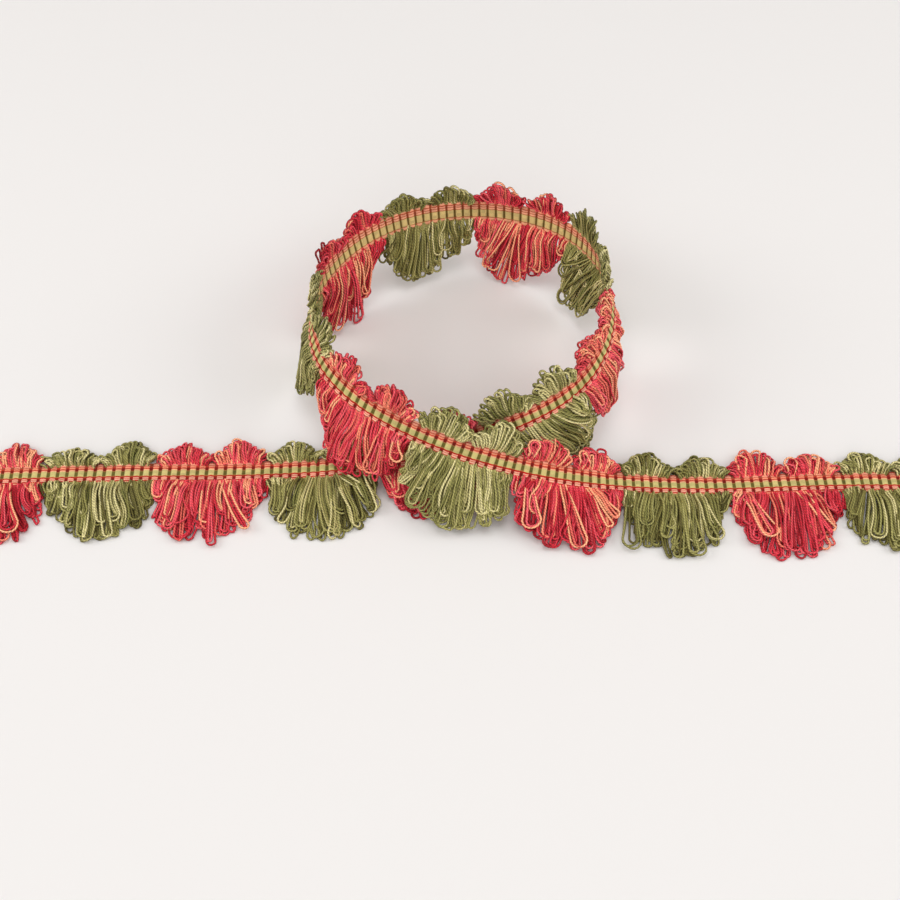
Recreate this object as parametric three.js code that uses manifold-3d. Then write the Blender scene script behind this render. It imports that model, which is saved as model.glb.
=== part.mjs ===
// A length of woven fan edge trim. Its two tails lie flat, and between them it stands
// on its fringe as one open loop, whose front pass crosses over the left tail.
// Millimetres, +Z up, origin at the bottom centre of the whole.
import * as THREE from 'three';
import { mergeVertices } from 'three/addons/utils/BufferGeometryUtils.js';
import Module from 'manifold-3d';

const wasm = await Module();
wasm.setup();

// Heading: the woven band that carries the fans
const FANS = 18;
const HEADING_WIDTH = 10;
const HEADING_THICKNESS = 1.6;
const SHOULDER = 0.8; // from the band's edge to its full thickness
const RIBS_PER_FAN = 12;
const RIB_DEPTH = 0.35;

// Fans and scallops: yarn loops, gathered in locks
const PIECE_GAP = 0.3;
const BACKING_WIDTH = 1.2;
const BACKING_THICKNESS = 1.2;
const BACKING_STEPS = 6;
const FAN_MARGIN = 0.012; // share of a fan left free at each of its sides
const LOCK_THICKNESS = 1.6;
const ROOT_DEPTH = 0.6; // how far a lock's root reaches into its backing
const ROOT_THICKNESS = 0.7;
const LOCK_SPACE = 0.7; // between the widest parts of two neighbours

const LOWER_LOCKS = 10;
const LOWER_LENGTH = 29.3; // heading's edge to the fan's tip
const LOWER_SIDE_SHARE = 0.34; // length of the shortest lock, as a share of the longest
const UPPER_LOCKS = 6;
const UPPER_LENGTH = 9.4;
const UPPER_NOTCH_SHARE = 0.55;

// A fan whose locks hang steeper than this stands on the floor by their tips
const STANDING_FLARE = 60;
// Locks longer than this share of a standing fan's longest one reach the floor
const STANDING_SHARE = 0.93;
const TIP_RISE = 0.1; // from the floor to the middle of a standing lock's tip

// One row at each fan boundary, from before the left end to after the right end. They
// steer a uniform cubic B-spline. x, y: heading's place, z: its lift off the floor,
// lean: the heading's angle from lying to standing, flare: the lower fans' angle.
const PATH = [
  { x: -264, y: -15, z: 0, lean: 0, flare: 0 },
  { x: -217, y: -15, z: 0, lean: 0, flare: 0 },
  { x: -171, y: -13, z: 0, lean: 0, flare: 0 },
  { x: -124, y: -12, z: 0, lean: 0, flare: 0 },
  { x: -77, y: -12, z: 0, lean: 0, flare: 0 },
  { x: -30, y: -10, z: 3, lean: 3, flare: 20 },
  { x: 13, y: -11, z: 25, lean: 70, flare: 68 },
  { x: 58, y: 3, z: 36, lean: 58, flare: 80 },
  { x: 74, y: 53, z: 37, lean: 62, flare: 104 },
  { x: 58, y: 98, z: 34, lean: 110, flare: 108 },
  { x: 11, y: 118, z: 27, lean: 100, flare: 126 },
  { x: -33, y: 104, z: 29, lean: 118, flare: 124 },
  { x: -61, y: 64, z: 35, lean: 98, flare: 88 },
  { x: -58, y: 14, z: 36, lean: 44, flare: 64 },
  { x: -15, y: -15, z: 31, lean: 72, flare: 51 },
  { x: 28, y: -21, z: 17, lean: 44, flare: 28 },
  { x: 70, y: -18, z: 0, lean: 0, flare: 0 },
  { x: 117, y: -19, z: 0, lean: 0, flare: 0 },
  { x: 163, y: -16, z: 0, lean: 0, flare: 0 },
  { x: 209, y: -17, z: 0, lean: 0, flare: 0 },
  { x: 256, y: -18, z: 0, lean: 0, flare: 0 },
];

// Height of what lies under the front pass's fringe where it crosses the left tail
const UNDERLAY = [
  { fan: 11.9, height: 0 },
  { fan: 12.3, height: 5 },
  { fan: 12.9, height: 5.5 },
  { fan: 13.5, height: 2.6 },
  { fan: 14.2, height: 0 },
];

// Rows down a lower lock and up an upper one
const LOWER_ROWS = [
  { along: 0, width: 0.5 },
  { along: 0.5, width: 0.85 },
  { along: 0.88, width: 1 },
  { along: 1, width: 0.5 },
];
const UPPER_ROWS = [
  { along: 0, width: 0.55 },
  { along: 0.7, width: 1 },
  { along: 1, width: 0.5 },
];

const HEADING_COLOR = 0xb98a5c;
const RED_COLOR = 0xc23a4c;
const GREEN_COLOR = 0x7d8450;
const YARN_ROUGHNESS = 0.9;

// Path: B-spline place and slope of the heading at any station, counted in fans
function rowsAround(fan) {
  const first = Math.min(Math.max(Math.floor(fan), 0), FANS - 1);
  return { rows: PATH.slice(first, first + 4), t: fan - first };
}

function placeWeights(t) {
  const rest = 1 - t;
  return [
    rest ** 3 / 6,
    (3 * t ** 3 - 6 * t ** 2 + 4) / 6,
    (-3 * t ** 3 + 3 * t ** 2 + 3 * t + 1) / 6,
    t ** 3 / 6,
  ];
}

function slopeWeights(t) {
  const rest = 1 - t;
  return [-(rest ** 2) / 2, (3 * t ** 2 - 4 * t) / 2, (-3 * t ** 2 + 2 * t + 1) / 2, t ** 2 / 2];
}

function blend(rows, weights, column) {
  return rows.reduce((sum, row, i) => sum + weights[i] * row[column], 0);
}

function station(fan) {
  const { rows, t } = rowsAround(fan);
  const place = placeWeights(t);
  const slope = slopeWeights(t);
  const read = (weights) => new THREE.Vector3(...['x', 'y', 'z'].map((c) => blend(rows, weights, c)));
  const lift = blend(rows, place, 'z');
  const center = read(place);
  center.z += HEADING_THICKNESS / 2;
  const along = read(slope).normalize();
  const side = new THREE.Vector3(-along.y, along.x, 0).normalize();
  const lean = THREE.MathUtils.degToRad(blend(rows, place, 'lean'));
  const flareDegrees = blend(rows, place, 'flare');
  return { center, along, side, lift, up: tilted(side, along, lean), flareDegrees };
}

// The level direction across the path, turned up by an angle and square to the path
function tilted(side, along, angle) {
  const turned = side.clone().multiplyScalar(Math.cos(angle));
  turned.z = Math.sin(angle);
  return turned.addScaledVector(along, -turned.dot(along)).normalize();
}

// Floor: the height that a hanging lock may not go below
function floorHeight(fan) {
  const last = UNDERLAY.length - 1;
  if (fan <= UNDERLAY[0].fan || fan >= UNDERLAY[last].fan) {
    return 0;
  }
  const next = UNDERLAY.findIndex((row) => row.fan > fan);
  const share = (fan - UNDERLAY[next - 1].fan) / (UNDERLAY[next].fan - UNDERLAY[next - 1].fan);
  return THREE.MathUtils.lerp(UNDERLAY[next - 1].height, UNDERLAY[next].height, share);
}

// Sweep: a closed prism whose rows and corners are each put in place by a function
function sweep({ sides, firstCorner, steps, place }) {
  const prism = new THREE.CylinderGeometry(1, 1, 1, sides, steps, false, firstCorner);
  const position = prism.getAttribute('position');
  const corner = new THREE.Vector3();
  for (let i = 0; i < position.count; i += 1) {
    corner.fromBufferAttribute(position, i);
    const row = Math.round((corner.y + 0.5) * steps);
    const moved = place(row, corner.z, corner.x);
    position.setXYZ(i, moved.x, moved.y, moved.z);
  }
  prism.deleteAttribute('normal');
  prism.deleteAttribute('uv');
  return mergeVertices(prism);
}

// Heading: six corners to a row, ribs raised on its face and, off the floor, its reverse
function headingGeometry() {
  const rowsPerFan = RIBS_PER_FAN * 2;
  const fullLift = 3;
  const place = (row, across, height) => {
    const at = station(row / rowsPerFan);
    const isEdge = Math.abs(across) > 0.9;
    const reach = isEdge ? HEADING_WIDTH / 2 : HEADING_WIDTH / 2 - SHOULDER;
    const isReverse = height < 0;
    const relief = isReverse ? Math.min(at.lift / fullLift, 1) : 1;
    const recess = row % 2 === 1 ? RIB_DEPTH * relief : 0;
    const depth = isEdge ? 0 : Math.sign(height) * (HEADING_THICKNESS / 2 - recess);
    const face = at.along.clone().cross(at.up);
    return at.center
      .addScaledVector(at.up, Math.sign(across) * reach)
      .addScaledVector(face, depth);
  };
  return sweep({ sides: 6, firstCorner: 0, steps: FANS * rowsPerFan, place });
}

// Lower fans: a point some way down the loops, and the direction square to them
function lowerPoint(fan, distance) {
  const at = station(fan);
  const backingEnd = PIECE_GAP + BACKING_WIDTH;
  const edge = at.center.clone().addScaledVector(at.up, -HEADING_WIDTH / 2);
  const point = edge.clone().addScaledVector(at.up, -Math.min(distance, backingEnd));
  const flare = THREE.MathUtils.degToRad(at.flareDegrees);
  const back = tilted(at.side, at.along, flare);
  const hanging = Math.max(distance - backingEnd, 0);
  point.addScaledVector(back, -hanging);
  const face = at.along.clone().cross(hanging > 0 ? back : at.up);
  const lowest = floorHeight(fan) + LOCK_THICKNESS / 2;
  if (hanging > 0 && at.flareDegrees < STANDING_FLARE && point.z < lowest) {
    const toFloor = hanging - (lowest - point.z) / back.z;
    point.copy(edge).addScaledVector(at.up, -backingEnd).addScaledVector(back, -toFloor);
    point.addScaledVector(at.side, -(hanging - toFloor));
    point.z = lowest;
    face.set(0, 0, 1);
  }
  return { point, face, along: at.along };
}

// Length at which a standing lock's tip meets the floor
function standingLength(fan) {
  const at = station(fan);
  const backingEnd = PIECE_GAP + BACKING_WIDTH;
  const flare = THREE.MathUtils.degToRad(at.flareDegrees);
  const back = tilted(at.side, at.along, flare);
  const start = at.center.z - at.up.z * (HEADING_WIDTH / 2 + backingEnd);
  return backingEnd + (start - floorHeight(fan) - TIP_RISE) / back.z;
}

function lowerLength(fan, share) {
  const wanted = LOWER_LENGTH * share;
  if (station(fan).flareDegrees < STANDING_FLARE) {
    return wanted;
  }
  const longest = standingLength(fan);
  return share > STANDING_SHARE ? longest : Math.min(wanted, longest);
}

// Upper scallops: a point some way up the loops, in the heading's own plane
function upperPoint(fan, distance) {
  const at = station(fan);
  const point = at.center.clone().addScaledVector(at.up, HEADING_WIDTH / 2 + distance);
  return { point, face: at.along.clone().cross(at.up), along: at.along };
}

// Backing: a narrow four-cornered strip beside the heading's edge
function backingGeometry(firstFan, pointAt, outward) {
  const width = 1 - 2 * FAN_MARGIN;
  const middle = PIECE_GAP + BACKING_WIDTH / 2;
  const place = (row, across, height) => {
    const fan = firstFan + FAN_MARGIN + (width * row) / BACKING_STEPS;
    const distance = middle + outward * Math.SQRT2 * across * (BACKING_WIDTH / 2);
    const { point, face } = pointAt(fan, distance);
    return point.addScaledVector(face, Math.SQRT2 * height * (BACKING_THICKNESS / 2));
  };
  return sweep({ sides: 4, firstCorner: Math.PI / 4, steps: BACKING_STEPS, place });
}

// Lock: three corners to a row, its flat side towards the reverse of the trim
function lockGeometry({ fan, length, width, rows, pointAt, outward }) {
  const root = PIECE_GAP + BACKING_WIDTH - ROOT_DEPTH;
  const place = (row, across, height) => {
    const { along: share, width: widthShare } = rows[row];
    const distance = root + (length - root) * share;
    const { point, face, along } = pointAt(fan, distance);
    const isRoot = row === 0;
    const thickness = isRoot ? ROOT_THICKNESS : LOCK_THICKNESS * (share < 1 ? 1 : 0.7);
    const base = isRoot ? -ROOT_THICKNESS / 2 : -LOCK_THICKNESS / 2;
    const rise = ((height + 0.5) / 1.5) * thickness;
    const halfWidth = (width * widthShare) / 2;
    const cornerSpan = Math.sqrt(3) / 2;
    point.addScaledVector(face, base + rise);
    point.addScaledVector(along, (-outward * across * halfWidth) / cornerSpan);
    point.z = Math.max(point.z, 0);
    return point;
  };
  return sweep({ sides: 3, firstCorner: Math.PI / 2, steps: rows.length - 1, place });
}

function toManifold(geometry) {
  return new wasm.Manifold(new wasm.Mesh({
    numProp: 3,
    vertProperties: new Float32Array(geometry.getAttribute('position').array),
    triVerts: new Uint32Array(geometry.getIndex().array),
  }));
}

function toGeometry(solid) {
  const mesh = solid.getMesh();
  const geometry = new THREE.BufferGeometry();
  geometry.setAttribute('position', new THREE.BufferAttribute(mesh.vertProperties, 3));
  geometry.setIndex(new THREE.BufferAttribute(mesh.triVerts, 1));
  geometry.computeVertexNormals();
  return geometry;
}

// A backing and its locks, joined at their roots
function tuftGeometry({ fanIndex, locks, rows, pointAt, outward, lengthAt }) {
  const backing = backingGeometry(fanIndex, pointAt, outward);
  const spacing = (1 - 2 * FAN_MARGIN) / locks;
  const pitch = station(fanIndex).center.distanceTo(station(fanIndex + 1).center);
  const width = pitch * spacing - LOCK_SPACE;
  let joined = toManifold(backing);
  for (let i = 0; i < locks; i += 1) {
    const share = (i + 0.5) / locks;
    const fan = fanIndex + FAN_MARGIN + (i + 0.5) * spacing;
    const length = lengthAt(fan, share);
    joined = joined.add(toManifold(lockGeometry({ fan, length, width, rows, pointAt, outward })));
  }
  return toGeometry(joined);
}

function lowerFan(fanIndex) {
  const profile = (share) => LOWER_SIDE_SHARE
    + (1 - LOWER_SIDE_SHARE) * Math.sin(Math.PI * share);
  return tuftGeometry({
    fanIndex,
    locks: LOWER_LOCKS,
    rows: LOWER_ROWS,
    pointAt: lowerPoint,
    outward: -1,
    lengthAt: (fan, share) => lowerLength(fan, profile(share)),
  });
}

function upperScallop(fanIndex) {
  const profile = (share) => UPPER_NOTCH_SHARE
    + (1 - UPPER_NOTCH_SHARE) * Math.abs(Math.sin(2 * Math.PI * share));
  return tuftGeometry({
    fanIndex,
    locks: UPPER_LOCKS,
    rows: UPPER_ROWS,
    pointAt: upperPoint,
    outward: 1,
    lengthAt: (fan, share) => UPPER_LENGTH * profile(share),
  });
}

function namedMesh(name, geometry, color) {
  const material = new THREE.MeshStandardMaterial({
    color,
    roughness: YARN_ROUGHNESS,
    metalness: 0,
  });
  const mesh = new THREE.Mesh(geometry, material);
  mesh.name = name;
  return mesh;
}

const trim = new THREE.Group();
trim.add(namedMesh('heading', headingGeometry(), HEADING_COLOR));
for (let i = 0; i < FANS; i += 1) {
  const number = String(i + 1).padStart(2, '0');
  const color = i % 2 === 0 ? RED_COLOR : GREEN_COLOR;
  trim.add(namedMesh(`fringe_${number}`, lowerFan(i), color));
  trim.add(namedMesh(`scallop_${number}`, upperScallop(i), color));
}

// Origin: the middle of the whole, on the floor
const bounds = new THREE.Box3().setFromObject(trim);
const middle = bounds.getCenter(new THREE.Vector3());
trim.position.set(-middle.x, -middle.y, 0);
trim.updateMatrixWorld(true);

export default trim;
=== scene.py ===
import bmesh
import bpy
import math
import numpy as np
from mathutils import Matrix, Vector


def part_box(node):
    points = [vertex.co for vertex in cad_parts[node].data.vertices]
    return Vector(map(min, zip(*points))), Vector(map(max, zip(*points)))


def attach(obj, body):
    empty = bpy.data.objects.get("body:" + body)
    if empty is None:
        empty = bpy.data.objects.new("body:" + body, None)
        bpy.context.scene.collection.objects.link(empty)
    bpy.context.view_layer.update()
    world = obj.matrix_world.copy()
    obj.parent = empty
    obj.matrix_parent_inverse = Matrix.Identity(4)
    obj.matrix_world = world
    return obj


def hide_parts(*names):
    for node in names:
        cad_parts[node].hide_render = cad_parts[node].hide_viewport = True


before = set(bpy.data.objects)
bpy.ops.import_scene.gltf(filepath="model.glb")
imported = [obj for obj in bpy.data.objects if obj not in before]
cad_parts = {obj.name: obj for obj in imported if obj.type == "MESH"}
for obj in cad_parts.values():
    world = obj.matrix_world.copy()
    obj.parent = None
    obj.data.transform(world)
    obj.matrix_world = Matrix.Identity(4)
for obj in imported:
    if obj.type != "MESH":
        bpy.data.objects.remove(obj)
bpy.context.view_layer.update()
print("stage: frame loaded,", len(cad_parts), "solids")

mm = 0.001

# The trim's own measures, in millimetres
trim = {
    "fanCount": 18,
    "headingWidth": 10.0,
    "headingThickness": 1.6,
    "shoulder": 0.8,
    "ribsPerFan": 12,
    "yarnRadius": 0.5,
    "upperLength": 9.6,
}

# The heading's path: one row at each fan boundary, steering a cubic B-spline. A row is
# x, y and z in millimetres, then lean and flare in degrees. lean turns the heading from
# lying to standing, and flare does so for the loops under it.
pathRows = np.array([
    (-264, -15, 0, 0, 0),
    (-217, -15, 0, 0, 0),
    (-171, -13, 0, 0, 0),
    (-124, -12, 0, 0, 0),
    (-77, -12, 0, 0, 0),
    (-30, -10, 3, 3, 20),
    (13, -11, 25, 70, 68),
    (58, 3, 36, 58, 80),
    (74, 53, 37, 62, 104),
    (58, 98, 34, 110, 108),
    (11, 118, 27, 100, 126),
    (-33, 104, 29, 118, 124),
    (-61, 64, 35, 98, 88),
    (-58, 14, 36, 44, 64),
    (-15, -15, 31, 72, 51),
    (28, -21, 17, 44, 28),
    (70, -18, 0, 0, 0),
    (117, -19, 0, 0, 0),
    (163, -16, 0, 0, 0),
    (209, -17, 0, 0, 0),
    (256, -18, 0, 0, 0),
], float)

# Over this many degrees of lean or flare the trim stands, under it the trim lies
standingAngle = 60

# What lies under the front pass's loops where it crosses the left tail
underlay = {"fan": (11.9, 12.3, 12.9, 13.5, 14.2), "height": (0, 5, 5.5, 2.6, 0)}


def unit(vectors):
    return vectors / np.linalg.norm(vectors, axis=-1, keepdims=True)


def tilted(side, along, degrees):
    # the level direction across the path, turned up by an angle and square to the path
    angle = np.radians(degrees)[..., None]
    turned = side * np.cos(angle) + np.array((0, 0, 1.0)) * np.sin(angle)
    return unit(turned - along * np.sum(turned * along, axis=-1, keepdims=True))


def evenFans(perFan):
    # even steps along the path, counted in fans
    return np.linspace(0, trim["fanCount"], trim["fanCount"] * perFan + 1)


def splineWeights(t):
    # what a cubic B-spline's four rows weigh in its place, and in its slope
    place = ((1 - t) ** 3 / 6, (3 * t**3 - 6 * t**2 + 4) / 6,
             (-3 * t**3 + 3 * t**2 + 3 * t + 1) / 6, t**3 / 6)
    slope = (-((1 - t) ** 2) / 2, (3 * t**2 - 4 * t) / 2,
             (-3 * t**2 + 2 * t + 1) / 2, t**2 / 2)
    return place, slope


def stationAt(fans):
    # the heading's place and directions at a distance along the path, counted in fans
    fans = np.asarray(fans, float)
    first = np.clip(np.floor(fans).astype(int), 0, trim["fanCount"] - 1)
    rows = [pathRows[first + i] for i in range(4)]
    place, slope = splineWeights((fans - first)[..., None])
    values = sum(weight * row for weight, row in zip(place, rows))
    along = unit(sum(weight * row for weight, row in zip(slope, rows))[..., :3])
    side = unit(np.stack((-along[..., 1], along[..., 0], 0 * along[..., 0]), axis=-1))
    up = tilted(side, along, values[..., 3])
    return {
        "center": values[..., :3] + np.array((0, 0, trim["headingThickness"] / 2)),
        "along": along,
        "side": side,
        "up": up,
        "face": np.cross(along, up),
        "lift": values[..., 2],
        "lean": values[..., 3],
        "flare": values[..., 4],
    }


def frameShift(stepsPerFan=24):
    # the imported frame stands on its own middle, the path on the drawing's zero
    at = stationAt(evenFans(stepsPerFan))
    toEdge = at["up"] * trim["headingWidth"] / 2
    edges = np.concatenate((at["center"] - toEdge, at["center"] + toEdge))
    low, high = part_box("heading")
    return np.array((low.x / mm - edges[:, 0].min(), low.y / mm - edges[:, 1].min(), 0.0))


pathShift = frameShift()
print("stage: path placed, shift", np.round(pathShift, 2).tolist(), "mm")


# Camera
cameraLook = {
    "aimAt": (0.0, 0.0, 0.0),  # on the floor, in the path's own frame
    "distance": 546.8,
    "elevation": 56.0,
    "focalPixels": 1280.3,
    "imagePixels": 900,
    "sensorWidth": 36,
}


def makeCamera(look):
    tilt = math.radians(look["elevation"])
    aim = Vector(look["aimAt"]) + Vector(pathShift)
    back = Vector((0, -math.cos(tilt), math.sin(tilt)))
    data = bpy.data.cameras.new("photoCamera")
    data.sensor_width = look["sensorWidth"]
    data.lens = data.sensor_width * look["focalPixels"] / look["imagePixels"]
    camera = bpy.data.objects.new("photoCamera", data)
    bpy.context.collection.objects.link(camera)
    camera.location = (aim + back * look["distance"]) * mm
    camera.rotation_euler = (math.pi / 2 - tilt, 0, 0)
    bpy.context.scene.camera = camera


makeCamera(cameraLook)


# Shader helpers: a socket that takes Python's operators, and one way to add a node
class Socket:
    def __init__(self, sheet, output):
        self.sheet = sheet
        self.output = output

    def __add__(self, other):
        return self.sheet.math("ADD", self, other)

    def __radd__(self, other):
        return self.sheet.math("ADD", other, self)

    def __sub__(self, other):
        return self.sheet.math("SUBTRACT", self, other)

    def __rsub__(self, other):
        return self.sheet.math("SUBTRACT", other, self)

    def __mul__(self, other):
        return self.sheet.math("MULTIPLY", self, other)

    def __rmul__(self, other):
        return self.sheet.math("MULTIPLY", other, self)


class ShaderSheet:
    def __init__(self, name):
        self.material = bpy.data.materials.new(name)
        self.material.use_nodes = True
        self.tree = self.material.node_tree
        self.surface = self.tree.nodes["Principled BSDF"]

    def fill(self, socket, value):
        if isinstance(value, Socket):
            self.tree.links.new(value.output, socket)
        else:
            socket.default_value = value

    def add(self, kind, settings, inputs, output=0):
        node = self.tree.nodes.new(kind)
        for name, value in settings.items():
            if name == "stops":
                self.setStops(node.color_ramp, value)
            elif name == "blendSteps":
                node.color_ramp.interpolation = value
            else:
                setattr(node, name, value)
        for name, value in inputs.items():
            self.fill(node.inputs[name], value)
        return Socket(self, node.outputs[output])

    def setStops(self, ramp, stops):
        while len(ramp.elements) > 1:
            ramp.elements.remove(ramp.elements[-1])
        ramp.elements[0].position, ramp.elements[0].color = stops[0]
        for position, value in stops[1:]:
            ramp.elements.new(position).color = value

    def math(self, operation, first, second=0.0):
        return self.add("ShaderNodeMath", {"operation": operation}, {0: first, 1: second})

    def ridges(self, wave, value):
        # SINE or COSINE ridges, two to a turn
        return self.math("ABSOLUTE", self.math(wave, value))

    def mix(self, share, first, second):
        # in colour mode the node's inputs are 6 and 7, and its output is 2
        return self.add("ShaderNodeMix", {"data_type": "RGBA"}, {0: share, 6: first, 7: second}, 2)

    def ramp(self, value, stops, blendSteps="LINEAR"):
        return self.add("ShaderNodeValToRGB", {"stops": stops, "blendSteps": blendSteps}, {0: value})

    def shaded(self, base, shade):
        return self.add("ShaderNodeVectorMath", {"operation": "SCALE"}, {0: base, "Scale": shade})

    def noise(self, scale, detail):
        spot = self.add("ShaderNodeTexCoord", {}, {}, 3)  # output 3 is Object
        return self.add("ShaderNodeTexNoise", {}, {"Vector": spot, "Scale": scale, "Detail": detail})

    def bump(self, look, height):
        return self.add("ShaderNodeBump", {}, {
            "Strength": look["strength"], "Distance": look["distance"], "Height": height})

    def uv(self):
        vector = self.add("ShaderNodeUVMap", {"uv_map": "weaveMap"}, {})
        return [self.add("ShaderNodeSeparateXYZ", {}, {0: vector}, i) for i in range(2)]

    def finish(self, **inputs):
        for name, value in inputs.items():
            self.fill(self.surface.inputs[name.replace("_", " ")], value)
        return self.material


def linear(part):
    # one part of an sRGB colour as the linear value that the nodes take
    return part / 12.92 if part <= 0.04045 else ((part + 0.055) / 1.055) ** 2.4


def colour(code):
    return tuple(linear(int(code[i:i + 2], 16) / 255) for i in (0, 2, 4)) + (1.0,)


def evenStops(codes):
    return [(i / len(codes), colour(code)) for i, code in enumerate(codes)]


# Mesh helpers. A grid of points is strips x rows x corners, and each strip is a tube.
def gridFaces(shape, alongMap, aroundMap):
    # the tubes' faces, and where each face's corners lie on the weave map
    strips, rows, corners = shape
    index = np.arange(strips * rows * corners).reshape(shape)
    around = np.roll(index, -1, axis=2)
    quads = np.stack((index[:, :-1], around[:, :-1], around[:, 1:], index[:, 1:]), axis=-1)
    row = np.arange(rows - 1)[:, None] + np.array((0, 0, 1, 1))
    corner = np.arange(corners)[:, None] + np.array((0, 1, 1, 0))
    alongUv = alongMap[:, row][:, :, None, :] + np.zeros(quads.shape)
    aroundUv = aroundMap[corner] + np.zeros(quads.shape)
    return quads.reshape(-1, 4), np.stack((alongUv.reshape(-1), aroundUv.reshape(-1)), axis=-1)


def meshFromGrid(name, points, alongMap, aroundMap, tone=None):
    # points in millimetres, in the path's frame; tone is one value for each strip
    strips, rows, corners = points.shape[:3]
    quads, places = gridFaces(points.shape[:3], alongMap, aroundMap)
    mesh = bpy.data.meshes.new(name)
    mesh.vertices.add(strips * rows * corners)
    mesh.vertices.foreach_set("co", ((points + pathShift) * mm).reshape(-1))
    mesh.loops.add(quads.size)
    mesh.loops.foreach_set("vertex_index", quads.reshape(-1).astype(np.int32))
    mesh.polygons.add(len(quads))
    mesh.polygons.foreach_set("loop_start", np.arange(0, quads.size, 4, dtype=np.int32))
    layer = mesh.uv_layers.new(name="weaveMap")
    layer.data.foreach_set("uv", places.reshape(-1).astype(np.float32))
    if tone is not None:
        values = mesh.attributes.new("tone", "FLOAT", "POINT").data
        values.foreach_set("value", np.repeat(tone, rows * corners).astype(np.float32))
    mesh.update(calc_edges=True)
    mesh.validate()
    piece = bpy.data.objects.new(name, mesh)
    bpy.context.collection.objects.link(piece)
    return piece


# Heading: bands from its upper edge down, on the ribs and in the gaps between them,
# for the face and for the paler reverse. Each band gives where it ends and its colour.
headingLook = {
    "rowsPerRib": 8,
    "ribHeight": 0.5,
    "bandHeight": 0.22,
    "edgeWave": 0.3,
    "waveRibShare": 0.7,
    "waveSteepness": 8,
    "flatBelow": 3,  # the reverse flattens as its lift falls from this to the floor
    "creaseAngle": 50,
    "ribSharpness": 2.2,
    "threads": 22,
    "cells": {"perRib": 2, "across": 7.0},
    "waver": {"scale": 500.0, "size": 0.05},
    "fineScale": 3600.0,
    "shades": {"scatter": 0.3, "fine": 0.5, "threads": 0.3, "least": 0.48},
    "bump": {"strength": 0.8, "distance": 0.00016, "threads": 0.7, "fine": 0.5},
    "roughness": 0.7,
    "gloss": 0.2,
    "face": {
        "columns": 30,
        "ribShare": 0.62,
        "rib": ((0.06, "f4b898"), (0.10, "b8402c"), (0.18, "f0a084"), (0.22, "d05c44"),
                (0.28, "ee9a78"), (0.34, "d4503c"), (0.40, "f0b488"), (0.67, "cec07c"),
                (0.74, "c42a1e"), (0.79, "f4ac92"), (0.82, "dc6c54"), (0.88, "f4b498"),
                (0.93, "c23424"), (1.0, "f0a484")),
        "gap": ((0.06, "d88a68"), (0.20, "a05038"), (0.26, "b43020"), (0.40, "7c1810"),
                (0.44, "966a38"), (0.64, "665e28"), (0.68, "a06c3c"), (0.76, "a01c12"),
                (0.90, "7c1810"), (0.94, "a83020"), (1.0, "e08c68")),
    },
    "reverse": {
        "columns": 22,
        "ribShare": 0.72,
        "rib": ((0.12, "f2a480"), (0.17, "c05636"), (0.25, "f0a888"), (0.29, "cc6a48"),
                (0.37, "f2b08c"), (0.41, "c0683e"), (0.76, "dcc280"), (0.80, "b87044"),
                (0.90, "f2ac86"), (0.93, "d07c54"), (1.0, "f4b48e")),
        "gap": ((0.20, "a44a2c"), (0.41, "8c3c20"), (0.78, "685424"), (1.0, "a85836")),
    },
}

# On the weave map the face takes 0 to 1 across, and the reverse starts at reverseStart.
# mapInset keeps both clear of a whole number, where the bands would start again.
reverseStart = 3
mapInset = 0.001


def ribRise(ribs, share):
    # rounded ribs of this share of the pitch, with level gaps between them
    edge = math.cos(math.pi * share)
    return np.sqrt(np.clip((np.cos(2 * np.pi * ribs) - edge) / (1 - edge), 0, 1))


def weaveRelief(side, across, ribs, look):
    # how far each place lies under the weave's highest: a pillow on every cell
    relief = np.zeros((len(ribs), len(across)))
    rise = ribRise(ribs, side["ribShare"])[:, None]
    start = 0.0
    for end, code in side["rib"]:
        within = (across >= start) & (across <= end)
        share = np.clip((across - start) / (end - start), 0, 1)
        pillow = np.sqrt(np.sin(np.pi * share))
        relief = np.where(within, look["bandHeight"] * (pillow - 1) * rise, relief)
        start = end
    return relief + look["ribHeight"] * (rise - 1)


def bandRamp(sheet, share, bands):
    starts = [0.0] + [end for end, code in bands[:-1]]
    stops = [(start, colour(code)) for start, (end, code) in zip(starts, bands)]
    return sheet.ramp(share, stops, "CONSTANT")


def weaveSide(sheet, side, ribs, share, sharpness):
    edge = math.cos(math.pi * side["ribShare"])
    rise = sheet.math("COSINE", ribs * (2 * math.pi)) - edge
    onRib = sheet.add("ShaderNodeClamp", {}, {0: rise * sharpness + 0.5})
    return sheet.mix(onRib, bandRamp(sheet, share, side["gap"]), bandRamp(sheet, share, side["rib"]))


def headingMaterial(look):
    sheet = ShaderSheet("headingWeave")
    ribs, across = sheet.uv()
    waver = sheet.noise(look["waver"]["scale"], 2.0)
    share = sheet.math("FRACT", across) + (waver - 0.5) * look["waver"]["size"]
    isReverse = sheet.math("GREATER_THAN", across, reverseStart - 1.0)
    base = sheet.mix(isReverse, *(weaveSide(sheet, look[name], ribs, share, look["ribSharpness"])
                                  for name in ("face", "reverse")))
    cell = sheet.add("ShaderNodeCombineXYZ", {}, {
        0: sheet.math("FLOOR", ribs * look["cells"]["perRib"] + 0.5),
        1: sheet.math("FLOOR", across * look["cells"]["across"])})
    scatter = sheet.add("ShaderNodeTexWhiteNoise", {"noise_dimensions": "2D"}, {"Vector": cell})
    fine = sheet.noise(look["fineScale"], 2.0)
    # thread ridges across the band: in the colour they paint shade along the grooves between the warp
    # threads, and they also raise the bump
    threads = sheet.ridges("SINE", share * (math.pi * look["threads"]))
    shades = look["shades"]
    shade = (scatter * shades["scatter"] + fine * shades["fine"]
             + threads * shades["threads"] + shades["least"])
    height = threads * look["bump"]["threads"] + fine * look["bump"]["fine"]
    return sheet.finish(
        Base_Color=sheet.shaded(base, shade), Roughness=look["roughness"],
        Normal=sheet.bump(look["bump"], height), Specular_IOR_Level=look["gloss"])


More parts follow.
